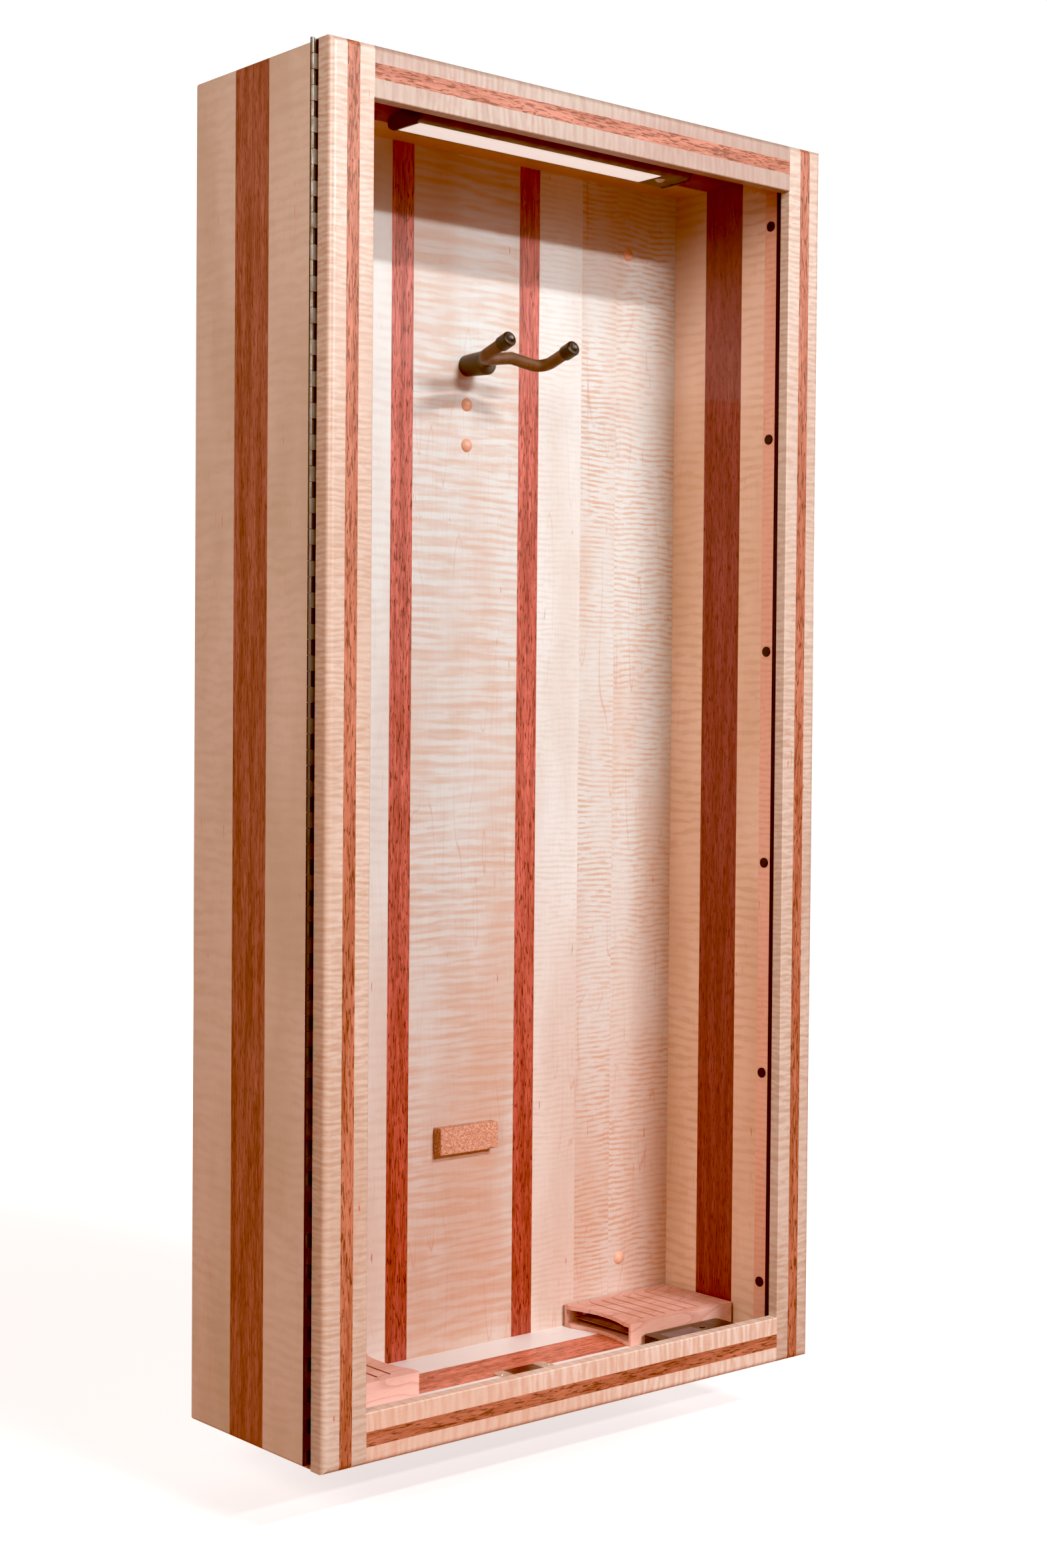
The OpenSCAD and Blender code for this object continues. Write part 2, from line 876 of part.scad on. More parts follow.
module stile_left_maple() {
  color("#dcb992") difference() {
    stile_maple();
    leaf_screw_places(-door_rear + leaf, -1) pilot_hole();
  }
}

module stile_left_stripe() {
  color("#a24a30") stile_stripe();
}

module stile_right_maple() {
  color("#dcb992") mirror([1, 0, 0]) stile_maple();
}

module stile_right_stripe() {
  color("#a24a30") mirror([1, 0, 0]) stile_stripe();
}

module rail_top_maple() {
  color("#dcb992") rail_maple();
}

module rail_top_stripe() {
  color("#a24a30") rail_stripe();
}

module rail_bottom_maple() {
  color("#dcb992") mirror([0, 0, 1]) rail_maple();
}

module rail_bottom_stripe() {
  color("#a24a30") mirror([0, 0, 1]) rail_stripe();
}

module door_glass() {
  x = open_x + rebate_lip - 0.5;
  z = open_z + rebate_lip - 0.5;
  pane_front = door_rear + rebate_depth;
  color("#dfeeee")
    block([-x, -pane_front, -z], [x, -pane_front + pane, z]);
}

// Four wooden beads behind the pane, along the outer sides of the rebate
module glass_beads() {
  front = door_rear + rebate_depth - pane;
  rear = door_rear + 0.4;
  x = open_x + rebate_lip;
  z = open_z + rebate_lip;
  color("#dcb992") {
    both_sides() block([x - bead_width, -front, -z], [x, -rear, z]);
    for (side = [-1, 1])
      translate([0, 0, side * (z - bead_width / 2)])
        block([-x + bead_width, -front, -bead_width / 2], [x - bead_width, -rear, bead_width / 2]);
  }
}

// ---------- pack holders ----------

// The scoop cut into the open end, drawn in plan
module scallop() {
  r = (scallop_half * scallop_half + scallop_deep * scallop_deep) / (2 * scallop_deep);
  translate([scallop_deep - r, holder_deep / 2]) circle(r = r, $fn = 128);
}

// A holder with its open end at X = 0, its back at Y = 0 and its floor at Z = 0
module holder_shape() {
  difference() {
    linear_extrude(holder_high) difference() {
      round_rect([holder_long, holder_deep], holder_corner);
      scallop();
    }
    block([-1, holder_wall, holder_wall],
          [holder_long - holder_wall - 1, holder_deep - holder_wall, holder_high - holder_wall]);
    for (k = [0:7])
      translate([slot_first + k * slot_pitch, holder_deep / 2, 0])
        for (side = [-1, 1]) {
          translate([0, side * (slot_long - slot_width) / 2, holder_high - holder_wall - 1])
            cylinder(h = holder_wall + 2, d = slot_width, $fn = 16);
          block([-slot_width / 2, -(slot_long - slot_width) / 2, holder_high - holder_wall - 1],
                [slot_width / 2, (slot_long - slot_width) / 2, holder_high + 1]);
        }
  }
}

// A filled pouch with a flat seam at each end, lying in a holder
module pack_shape() {
  seam = 7;
  lens_r = (pack_wide * pack_wide / 4 + pack_thick * pack_thick / 4) / pack_thick;
  lift = pack_thick / 2;
  rotate([90, 0, 90]) translate([0, 0, seam]) linear_extrude(pack_long - 2 * seam)
    intersection() {
      translate([0, lift - lens_r]) circle(r = lens_r, $fn = 256);
      translate([0, lens_r - lift]) circle(r = lens_r, $fn = 256);
    }
  block([0, -pack_wide / 2 + 3, -0.4], [seam + 1, pack_wide / 2 - 3, 0.4]);
  block([pack_long - seam - 1, -pack_wide / 2 + 3, -0.4], [pack_long, pack_wide / 2 - 3, 0.4]);
}

// Puts its children at the right holder's open end, with +X going into the holder
module right_holder_place() {
  translate([holder_right_x, -holder_y - holder_deep, holder_floor]) children();
}

module left_holder_place() {
  translate([holder_left_x, -holder_y, holder_floor]) rotate([0, 0, 180]) children();
}

// Where a pack lies inside its holder
module pack_place() {
  inside = holder_high - 2 * holder_wall;
  translate([7, holder_deep / 2, holder_wall + inside / 2 - (inside - pack_thick) / 2 + rest_gap])
    children();
}

module holder_right() {
  color("#d2a184") right_holder_place() holder_shape();
}

module holder_left() {
  color("#d2a184") left_holder_place() holder_shape();
}

module pack_right() {
  color("#c9a987") right_holder_place() pack_place() pack_shape();
}

module pack_left() {
  color("#c9a987") left_holder_place() pack_place() pack_shape();
}

// ---------- hygrometer ----------

module hygrometer_case() {
  color("#15160f") difference() {
    translate([hygro_left, -hygro_y - hygro_deep, floor_z + rest_gap])
      linear_extrude(hygro_thick) round_rect([hygro_wide, hygro_deep], 4);
    block([window_left, -window_back - window_deep, hygro_top - 1],
          [window_left + window_wide, -window_back, hygro_top + 1]);
    translate([button_x, -button_y, hygro_top - press_deep - press_travel - 0.2])
      cylinder(h = hygro_thick, d = press_d + 2 * rest_gap);
  }
}

module hygrometer_window() {
  color("#8f9096")
    block([window_left + 0.1, -window_back - window_deep + 0.1, hygro_top - 1],
          [window_left + window_wide - 0.1, -window_back - 0.1, hygro_top]);
}

module hygrometer_button() {
  color("#26272a") translate([button_x, -button_y, hygro_top - press_deep])
    cylinder(h = press_deep + press_proud, d = press_d);
}

// ---------- drawing ----------

side_left_maple();
side_left_stripe();
side_right_maple();
side_right_stripe();
top_maple();
top_stripe();
floor_maple();
floor_stripe();
back_board_left();
back_board_centre();
back_board_plain();
back_board_curl();
back_board_fine();
back_stripes();
screw_buttons();
strike_strip();
strike_seal();
strike_covers();
hinge_leaf_case();
hinge_pin();
hinge_screws_case();
hanger_collar();
hanger_grub_screw();
light_magnet_strip();
rest_pad();
name_plate();
plate_pins();
light_housing();
light_diffuser();
light_end_caps();
light_sensor();
yoke_rod();
yoke_sleeve();
yoke_caps();
stile_left_maple();
stile_left_stripe();
stile_right_maple();
stile_right_stripe();
rail_top_maple();
rail_top_stripe();
rail_bottom_maple();
rail_bottom_stripe();
hinge_leaf_door();
hinge_screws_door();
door_glass();
glass_beads();
holder_right();
holder_left();
pack_right();
pack_left();
hygrometer_case();
hygrometer_window();
hygrometer_button();
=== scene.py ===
"""The looks of a wall-hung guitar display cabinet: woods, metals, rubber, cork, paper and light."""
import math

import bmesh
import bpy
from mathutils import Matrix, Vector, noise


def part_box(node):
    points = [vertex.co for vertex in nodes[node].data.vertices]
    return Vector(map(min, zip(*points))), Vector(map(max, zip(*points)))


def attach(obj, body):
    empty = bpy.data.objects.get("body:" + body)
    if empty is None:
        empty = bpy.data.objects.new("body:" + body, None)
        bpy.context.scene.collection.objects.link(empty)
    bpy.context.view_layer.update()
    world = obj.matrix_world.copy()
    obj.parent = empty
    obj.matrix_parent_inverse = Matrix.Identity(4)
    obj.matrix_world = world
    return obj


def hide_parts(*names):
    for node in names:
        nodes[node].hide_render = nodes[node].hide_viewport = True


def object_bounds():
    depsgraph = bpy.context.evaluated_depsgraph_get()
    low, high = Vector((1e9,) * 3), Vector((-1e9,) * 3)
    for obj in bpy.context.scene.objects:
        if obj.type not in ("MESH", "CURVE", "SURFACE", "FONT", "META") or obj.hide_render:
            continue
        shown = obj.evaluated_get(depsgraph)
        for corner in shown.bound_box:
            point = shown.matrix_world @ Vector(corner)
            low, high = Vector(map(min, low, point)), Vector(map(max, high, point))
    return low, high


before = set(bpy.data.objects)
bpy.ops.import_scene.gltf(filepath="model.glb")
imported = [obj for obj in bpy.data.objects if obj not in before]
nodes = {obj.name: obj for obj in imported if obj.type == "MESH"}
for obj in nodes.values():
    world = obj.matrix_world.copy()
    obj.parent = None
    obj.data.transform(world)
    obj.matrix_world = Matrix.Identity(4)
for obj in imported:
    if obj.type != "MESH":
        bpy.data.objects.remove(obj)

cad_low, cad_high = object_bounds()


# ---------- building materials ----------

class Shader:
    """One material, built a node at a time around its Principled shader.

    Sizes are in metres, in the object's own coordinates, so a pattern stays on its piece.
    """

    def __init__(self, name, **plain):
        self.material = bpy.data.materials.new(name)
        self.material.use_nodes = True
        self.tree = self.material.node_tree
        self.surface = self.tree.nodes["Principled BSDF"]
        for key, value in plain.items():
            self.surface.inputs[key.replace("_", " ")].default_value = value
        self.place = self.add("ShaderNodeTexCoord").outputs["Object"]

    def add(self, kind, **settings):
        """A new node of this material, with its settings."""
        made = self.tree.nodes.new(kind)
        for key, value in settings.items():
            setattr(made, key, value)
        return made

    def put(self, socket, value):
        """Links value into the socket if it is another node's output, else stores it there."""
        if isinstance(value, bpy.types.NodeSocket):
            self.tree.links.new(value, socket)
        else:
            socket.default_value = value

    def set(self, name, value):
        """Stores or links one input of the Principled shader."""
        self.put(self.surface.inputs[name], value)

    def scaled(self, size, shift=0.0):
        """Coordinates in which one unit is size metres along each axis."""
        mapping = self.add("ShaderNodeMapping")
        self.put(mapping.inputs["Vector"], self.place)
        mapping.inputs["Scale"].default_value = [1 / s for s in size]
        mapping.inputs["Location"].default_value = (shift, shift * 1.7, shift * 2.3)
        return mapping.outputs["Vector"]

    def noise(self, size, detail=2.0, rough=0.5, distort=0.0, shift=0.0):
        """Smooth noise from 0 to 1 whose features are about size metres along each axis."""
        made = self.add("ShaderNodeTexNoise")
        self.put(made.inputs["Vector"], self.scaled(size, shift))
        made.inputs["Scale"].default_value = 1.0
        made.inputs["Detail"].default_value = detail
        made.inputs["Roughness"].default_value = rough
        made.inputs["Distortion"].default_value = distort
        return made.outputs["Fac"]

    def cells(self, size, feature="F1", output="Color"):
        """Random cells about size metres across."""
        made = self.add("ShaderNodeTexVoronoi", feature=feature)
        self.put(made.inputs["Vector"], self.scaled((size, size, size)))
        made.inputs["Scale"].default_value = 1.0
        return made.outputs[output]

    def axis(self, name):
        """One of the object's coordinates, in metres."""
        split = self.add("ShaderNodeSeparateXYZ")
        self.put(split.inputs["Vector"], self.place)
        return split.outputs[name]

    def between(self, value, low, high, start=0.0, end=1.0):
        """start where value is at low or before it, end at high or past it, smooth between."""
        made = self.add("ShaderNodeMapRange", interpolation_type="SMOOTHSTEP")
        self.put(made.inputs["Value"], value)
        for key, number in (("From Min", low), ("From Max", high), ("To Min", start), ("To Max", end)):
            made.inputs[key].default_value = number
        return made.outputs["Result"]

    def maths(self, operation, a, b=0.0):
        """One step of arithmetic on two numbers or sockets."""
        made = self.add("ShaderNodeMath", operation=operation)
        self.put(made.inputs[0], a)
        self.put(made.inputs[1], b)
        return made.outputs["Value"]

    def mix(self, factor, a, b, blend="MIX"):
        """Colour a, turning to colour b by factor. A colour is three numbers or a socket."""
        made = self.add("ShaderNodeMix", data_type="RGBA", blend_type=blend)
        self.put(made.inputs[0], factor)
        for socket, value in ((made.inputs[6], a), (made.inputs[7], b)):
            self.put(socket, value if isinstance(value, bpy.types.NodeSocket) else (*value, 1.0))
        return made.outputs[2]

    def bump(self, height, depth):
        """Raises the surface by depth metres times height."""
        made = self.add("ShaderNodeBump")
        self.put(made.inputs["Height"], height)
        made.inputs["Distance"].default_value = depth
        if self.surface.inputs["Normal"].links:
            self.put(made.inputs["Normal"], self.surface.inputs["Normal"].links[0].from_socket)
        self.put(self.surface.inputs["Normal"], made.outputs["Normal"])


def rgb(red, green, blue):
    """A colour as 0 to 255 display values, turned into linear light."""
    shares = [level / 255 for level in (red, green, blue)]
    return tuple(v / 12.92 if v < 11 / 255 else ((v + 0.055) / 1.055) ** 2.4 for v in shares)


def grained(grain, along, across):
    """A size that is along metres in the grain's direction and across metres in the other two."""
    return tuple(along if axis == grain else across for axis in "XYZ")


def camera_only(tree):
    """A number that is 1 for what the camera sees directly, and 0 for all other light."""
    return tree.nodes.new("ShaderNodeLightPath").outputs["Is Camera Ray"]


# ---------- woods ----------

def add_fibres(shader, colour, grain, shift, strength):
    """Fine fibres, wandering growth lines and a few short mineral streaks, all along the grain."""
    fibres = shader.noise(grained(grain, 0.02, 0.0006), detail=3, shift=shift)
    colour = shader.mix(shader.between(fibres, 0.35, 0.75, 0.0, 0.10 * strength), colour, rgb(150, 105, 80))
    field = shader.noise(grained(grain, 0.42, 0.030), detail=1, distort=0.35, shift=shift + 3)
    phase = shader.maths("FRACT", shader.maths("MULTIPLY", field, 9.0))
    from_line = shader.maths("ABSOLUTE", shader.maths("SUBTRACT", phase, 0.5))
    line = shader.between(from_line, 0.0, 0.035, 1.0, 0.0)
    patchy = shader.between(shader.noise(grained(grain, 0.12, 0.05), shift=shift + 8), 0.42, 0.62)
    lines = shader.maths("MULTIPLY", line, patchy)
    colour = shader.mix(shader.maths("MULTIPLY", lines, 0.30 * strength), colour, rgb(196, 120, 92))
    streaks = shader.noise(grained(grain, 0.022, 0.0021), detail=1, distort=0.6, shift=shift + 5)
    rare = shader.between(shader.noise(grained(grain, 0.09, 0.022), shift=shift + 6), 0.60, 0.66)
    marks = shader.maths("MULTIPLY", shader.between(streaks, 0.70, 0.76), rare)
    return shader.mix(shader.maths("MULTIPLY", marks, 0.75), colour, rgb(178, 88, 55))


def curl_bands(shader, grain, spacing, length, shift):
    """Bands across the grain, from 0 to 1, as curled fibres show them: regular, gently wavy and broken up."""
    run = shader.maths("MULTIPLY", shader.axis(grain), 1 / spacing)
    drift = shader.noise(grained(grain, 0.06, 1.6 * length), detail=1.0, shift=shift)
    phase = shader.maths("ADD", run, shader.maths("MULTIPLY", drift, 2.0))
    wave = shader.maths("SINE", shader.maths("MULTIPLY", phase, 2 * math.pi))
    broken = shader.noise(grained(grain, spacing / 2, 0.45 * length), detail=2, rough=0.5, shift=shift + 1)
    height = shader.maths("ADD", shader.maths("MULTIPLY", wave, 0.16), broken)
    return shader.between(height, 0.42, 0.70)


def painted_low_shade(shader, colour, tint):
    """The colour, darker and warmer towards the foot of the cabinet: painted shade, for light that is
    stronger higher up.
    """
    height = shader.axis("Z")
    return shader.mix(shader.between(height, -0.55, 0.05, 1.0, 0.0), colour, tint, blend="MULTIPLY")


def finish_wood(shader, colour, grain, shift, gloss=0.36):
    """Satin lacquer over the colour, with the grain just showing in it."""
    shader.set("Base Color", colour)
    film = shader.noise((0.06, 0.06, 0.06), detail=3, shift=shift)
    shader.set("Roughness", shader.between(film, 0.3, 0.7, gloss - 0.04, gloss + 0.06))
    shader.bump(shader.noise(grained(grain, 0.012, 0.0007), detail=3, shift=shift), 0.00006)
    return shader.material


def maple(name, grain, pale, curl, bands, shift, strength=0.6, lines=1.0, low=None):
    """Curled maple. bands is a list of (spacing, length), and strength how much the darker curl shows."""
    shader = Shader(name, Specular_IOR_Level=0.45)
    cloud = shader.noise(grained(grain, 0.30, 0.07), detail=2, shift=shift + 11)
    darker = tuple(0.55 * p + 0.45 * c for p, c in zip(pale, curl))
    colour = shader.mix(shader.between(cloud, 0.38, 0.66), pale, darker)
    for k, (spacing, length) in enumerate(bands):
        figure = curl_bands(shader, grain, spacing, length, shift + k * 13)
        patches = shader.noise(grained(grain, 0.10, 0.06), shift=shift + 20 + k)
        patchy = shader.between(patches, 0.30, 0.60, 0.35, 1.0)
        share = shader.maths("MULTIPLY", shader.maths("MULTIPLY", figure, patchy), strength)
        colour = shader.mix(share, colour, curl)
    colour = add_fibres(shader, colour, grain, shift, lines)
    # low, when given, paints shade: darker and warmer towards the foot of the cabinet.
    if low:
        colour = painted_low_shade(shader, colour, low)
    return finish_wood(shader, colour, grain, shift)


def mahogany(name, grain, red, deep, shift, pores=1.0, low=None):
    """Mahogany: broad ribbons, fine streaks and short dark open pores along the grain."""
    shader = Shader(name, Specular_IOR_Level=0.4)
    ribbon = shader.noise(grained(grain, 0.16, 0.009), detail=2, distort=0.3, shift=shift)
    middle = tuple(0.5 * (a + b) for a, b in zip(red, deep))
    colour = shader.mix(shader.between(ribbon, 0.35, 0.65), red, middle)
    streak = shader.noise(grained(grain, 0.030, 0.0016), detail=3, rough=0.6, shift=shift + 4)
    colour = shader.mix(shader.between(streak, 0.45, 0.72, 0.0, 0.65), colour, deep)
    hair = shader.noise(grained(grain, 0.010, 0.0013), detail=2, distort=0.4, shift=shift + 7)
    pore = shader.between(hair, 0.54, 0.62)
    dark = tuple(0.42 * c for c in deep)
    colour = shader.mix(shader.maths("MULTIPLY", pore, 0.75 * pores), colour, dark)
    # Pinkish flecks paler than the red: painted highlight, the glint on the figure.
    glow = shader.noise(grained(grain, 0.018, 0.0022), detail=1, shift=shift + 9)
    bright = tuple(min(1, 1.5 * c) for c in red)
    colour = shader.mix(shader.between(glow, 0.58, 0.74, 0.0, 0.35), colour, bright)
    shader.bump(shader.maths("MULTIPLY", pore, -1.0), 0.00012)
    # low, when given, paints shade: darker and warmer towards the foot of the cabinet.
    if low:
        colour = painted_low_shade(shader, colour, low)
    return finish_wood(shader, colour, grain, shift, gloss=0.38)


def cedar(name, grain, shift, level=1.0):
    """Unfinished cedar, pinkish, with arching growth rings and darker fibres."""
    shader = Shader(name, Specular_IOR_Level=0.3)
    tones = rgb(246, 196, 184), rgb(232, 176, 160), rgb(190, 118, 98)
    pink, warm, ring = [tuple(level * c for c in tone) for tone in tones]
    cloud = shader.noise(grained(grain, 0.10, 0.03), detail=3, shift=shift)
    colour = shader.mix(shader.between(cloud, 0.35, 0.7), pink, warm)
    field = shader.noise(grained(grain, 0.16, 0.045), detail=0.5, distort=0.5, shift=shift + 2)
    phase = shader.maths("FRACT", shader.maths("MULTIPLY", field, 12.0))
    rings = shader.between(phase, 0.72, 0.98)
    colour = shader.mix(shader.maths("MULTIPLY", rings, 0.34), colour, ring)
    fibres = shader.noise(grained(grain, 0.010, 0.0006), detail=2, shift=shift + 5)
    colour = shader.mix(shader.between(fibres, 0.5, 0.75, 0.0, 0.22), colour, ring)
    shader.set("Base Color", colour)
    shader.set("Roughness", shader.between(fibres, 0.3, 0.7, 0.55, 0.75))
    shader.bump(fibres, 0.00015)
    return shader.material


def cork(name):
    """Pressed cork: pale and brown grains with dark seams between them."""
    shader = Shader(name, Specular_IOR_Level=0.2)
    tint = shader.cells(0.0013)
    shade = shader.add("ShaderNodeRGBToBW")
    shader.put(shade.inputs[0], tint)
    colour = shader.mix(shader.between(shade.outputs[0], 0.15, 0.85), rgb(204, 142, 120), rgb(236, 180, 158))
    specks = shader.noise((0.0011, 0.0011, 0.0011), detail=2, shift=4)
    colour = shader.mix(shader.between(specks, 0.60, 0.68), colour, rgb(252, 232, 212))
    colour = shader.mix(shader.between(specks, 0.32, 0.40, 0.8, 0.0), colour, rgb(140, 88, 68))
    seam = shader.cells(0.0013, feature="DISTANCE_TO_EDGE", output="Distance")
    colour = shader.mix(shader.between(seam, 0.0, 0.12, 0.22, 0.0), colour, rgb(166, 112, 90))
    shader.set("Base Color", colour)
    shader.set("Roughness", shader.between(specks, 0.3, 0.7, 0.75, 0.92))
    shader.bump(shader.between(seam, 0.0, 0.25), 0.00012)
    shader.bump(specks, 0.00012)
    return shader.material


# ---------- metals, rubber, plastics, paper and glass ----------

def worn_metal(name, colour, worn, grain="Z", roughness=0.3):
    """Brushed or plated metal with fine drawn lines and cloudier worn places."""
    shader = Shader(name, Metallic=1.0)
    lines = shader.noise(grained(grain, 0.02, 0.0005), detail=2)
    cloud = shader.noise((0.011, 0.011, 0.017), detail=4, shift=2)
    tone = shader.mix(shader.between(cloud, 0.38, 0.68), colour, worn)
    shader.set("Base Color", shader.mix(shader.between(lines, 0.4, 0.8, 0.0, 0.3), tone, worn))
    shader.set("Roughness", shader.between(cloud, 0.3, 0.7, roughness - 0.06, roughness + 0.14))
    shader.bump(lines, 0.00003)
    return shader.material


def hinge_metal(name):
    """Plated hinge: bright towards its top and bronze-grey lower down, painted light and shade for the light
    from above.
    """
    shader = Shader(name, Metallic=0.95)
    low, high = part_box("hinge_pin")
    height = shader.axis("Z")
    # Painted light and shade: the plate lighter towards its top, darker lower down.
    painted_light_upwards = shader.between(height, low.z + 0.35 * (high.z - low.z), low.z + 0.85 * (high.z - low.z))
    colour = shader.mix(painted_light_upwards, rgb(72, 70, 64), rgb(112, 110, 106))
    cloud = shader.noise((0.006, 0.006, 0.012), detail=4)
    colour = shader.mix(shader.between(cloud, 0.40, 0.72, 0.0, 0.55), colour, rgb(88, 80, 68))
    shader.set("Base Color", colour)
    shader.set("Roughness", shader.between(cloud, 0.3, 0.7, 0.40, 0.56))
    shader.bump(shader.noise((0.0008, 0.0008, 0.006), detail=2), 0.00004)
    return shader.material


def moulded(name, colour, worn, roughness, depth=0.00006):
    """Moulded rubber or plastic, or painted metal: fine texture and slight variation of tone."""
    shader = Shader(name, Specular_IOR_Level=0.5)
    cloud = shader.noise((0.012, 0.012, 0.012), detail=4)
    shader.set("Base Color", shader.mix(shader.between(cloud, 0.35, 0.7), colour, worn))
    shader.set("Roughness", shader.between(cloud, 0.3, 0.7, max(0.04, roughness - 0.05), roughness + 0.07))
    shader.bump(shader.noise((0.0007, 0.0007, 0.0007), detail=2), depth)
    return shader.material


def lit_diffuser(name):
    """Frosted plastic lit from inside, a little stronger along its middle."""
    shader = Shader(name, Base_Color=(0.95, 0.97, 0.96, 1.0), Roughness=0.45)
    low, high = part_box("light_diffuser")
    depth = shader.axis("Y")
    middle = (low.y + high.y) / 2
    away = shader.maths("ABSOLUTE", shader.maths("SUBTRACT", depth, middle))
    edge = shader.between(away, 0.7 * (high.y - middle), high.y - middle)
    glow = shader.mix(edge, (0.96, 1.0, 0.99), (1.0, 0.94, 0.88))
    shader.set("Emission Color", glow)
    shader.surface.inputs["Emission Strength"].default_value = 0.5
    return shader.material


def paper(name):
    """Soft kraft paper of a humidity pouch, with fine fibres and creases, darkened as painted shade."""
    shader = Shader(name, Specular_IOR_Level=0.25)
    fibres = shader.noise((0.0011, 0.0011, 0.0011), detail=4, rough=0.7)
    cloud = shader.noise((0.02, 0.02, 0.02), detail=3, shift=3)
    # Both tones are darker than the kraft itself: painted shade, for the shadow in the holder's slots.
    colour = shader.mix(shader.between(cloud, 0.35, 0.7), rgb(150, 112, 86), rgb(120, 86, 64))
    shader.set("Base Color", shader.mix(shader.between(fibres, 0.5, 0.8, 0.0, 0.35), colour, rgb(90, 62, 44)))
    shader.set("Roughness", shader.between(fibres, 0.3, 0.7, 0.55, 0.75))
    shader.bump(fibres, 0.0001)
    return shader.material


def pane_glass(name):
    """Very clear glass: nearly all see-through, with faint waves in what it mirrors."""
    shader = Shader(name, Base_Color=(0.02, 0.03, 0.03, 1.0), Roughness=0.03, Alpha=0.03)
    shader.bump(shader.noise((0.12, 0.12, 0.2), detail=2), 0.0002)
    return shader.material


def plate_finish(name):
    """Brushed silver plate with a blank, darker brown field in its middle."""
    shader = Shader(name, Metallic=1.0)
    low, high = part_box("name_plate")
    centre = (low + high) / 2
    half = (high - low) / 2
    across = shader.maths("ABSOLUTE", shader.maths("SUBTRACT", shader.axis("X"), centre.x))
    field = shader.between(across, 0.52 * half.x, 0.60 * half.x, 1.0, 0.0)
    brush = shader.noise((0.012, 0.0004, 0.0004), detail=3)
    silver = shader.mix(shader.between(brush, 0.35, 0.75), rgb(244, 236, 226), rgb(176, 160, 144))
    brown = shader.mix(shader.between(brush, 0.35, 0.75), rgb(128, 92, 60), rgb(70, 44, 26))
    shader.set("Base Color", shader.mix(field, silver, brown))
    shader.set("Roughness", shader.between(brush, 0.3, 0.7, 0.22, 0.40))
    shader.bump(brush, 0.00004)
    return shader.material


# ---------- putting materials on the CAD nodes ----------

def dress(material, *names):
    """Puts one material on whole CAD nodes."""
    for name in names:
        for slot in nodes[name].material_slots:
            slot.material = material


# Each pair is a wood's tone and the tone of its figure or pores. The pairs marked below are copies of the
# same wood: the darker ones are painted shade, the paler ones painted light.
PLAIN_BOARD = rgb(230, 240, 240), rgb(210, 200, 190)
CURLED_BOARD = rgb(220, 230, 230), rgb(210, 180, 160)
# Painted shade: the stiles' maple, a darker copy of the door's maple.
STILE_MAPLE_PAINTED_SHADE = rgb(200, 190, 180), rgb(170, 140, 120)
# Painted shade: the top rail's maple, a darker copy of the bottom rail's.
TOP_RAIL_MAPLE_PAINTED_SHADE = rgb(170, 160, 150), rgb(150, 120, 110)
PALE_RAIL_MAPLE = rgb(220, 210, 200), rgb(200, 160, 140)
# Painted shade: the left side's maple, darker and greyer than the wood.
SIDE_MAPLE_PAINTED_SHADE = rgb(210, 200, 190), rgb(180, 170, 150)
STRIKE_MAPLE = rgb(230, 200, 180), rgb(200, 160, 130)
# Painted light: the floor's maple, lightened to white where the lamps fall on it.
FLOOR_MAPLE_PAINTED_LIGHT = rgb(250, 250, 250), rgb(250, 250, 250)
BEAD_MAPLE = rgb(232, 196, 170), rgb(214, 172, 136)
CEILING_MAPLE = rgb(220, 172, 134), rgb(190, 134, 98)
STRIP_MAPLE = rgb(234, 186, 168), rgb(212, 154, 134)
BUTTON_BEECH = rgb(240, 190, 166), rgb(222, 166, 142)
FRAME_MAHOGANY = rgb(180, 120, 100), rgb(130, 70, 50)
PANEL_MAHOGANY = rgb(210, 120, 110), rgb(130, 60, 50)
# Painted shade: the left side's mahogany, darker and greyer.
SIDE_MAHOGANY_PAINTED_SHADE = rgb(170, 120, 110), rgb(120, 80, 70)
STRIKE_MAHOGANY = rgb(150, 80, 80), rgb(110, 50, 40)
# Painted light: the floor's mahogany, paler than the other mahogany.
FLOOR_MAHOGANY_PAINTED_LIGHT = rgb(240, 150, 130), rgb(180, 90, 70)


def dress_case():
    dress(maple("side maple", "Z", *SIDE_MAPLE_PAINTED_SHADE, [(0.019, 0.06), (0.009, 0.03)], 2, 0.2, 0.5),
          "side_left_maple")
    dress(mahogany("side mahogany", "Z", *SIDE_MAHOGANY_PAINTED_SHADE, 5, 0.5), "side_left_stripe")
    dress(maple("strike maple", "Z", *STRIKE_MAPLE, [(0.010, 0.05)], 8, 0.5, 0.8),
          "side_right_maple")
    dress(mahogany("strike mahogany", "Z", *STRIKE_MAHOGANY, 9, 0.8), "side_right_stripe")
    dress(maple("ceiling maple", "X", *CEILING_MAPLE, [(0.012, 0.04)], 12, 0.4), "top_maple")
    # Painted shade: the ceiling's mahogany is darkened for the dark under the top.
    dress(mahogany("ceiling mahogany", "X", rgb(150, 66, 46), rgb(100, 34, 24), 14), "top_stripe")
    dress(maple("floor maple", "X", *FLOOR_MAPLE_PAINTED_LIGHT, [(0.011, 0.04)], 16, 0.25, 0.4),
          "floor_maple")
    dress(mahogany("floor mahogany", "X", *FLOOR_MAHOGANY_PAINTED_LIGHT, 18), "floor_stripe")
    dress(maple("strip maple", "Z", *STRIP_MAPLE, [(0.006, 0.03)], 21, 0.5), "strike_strip")


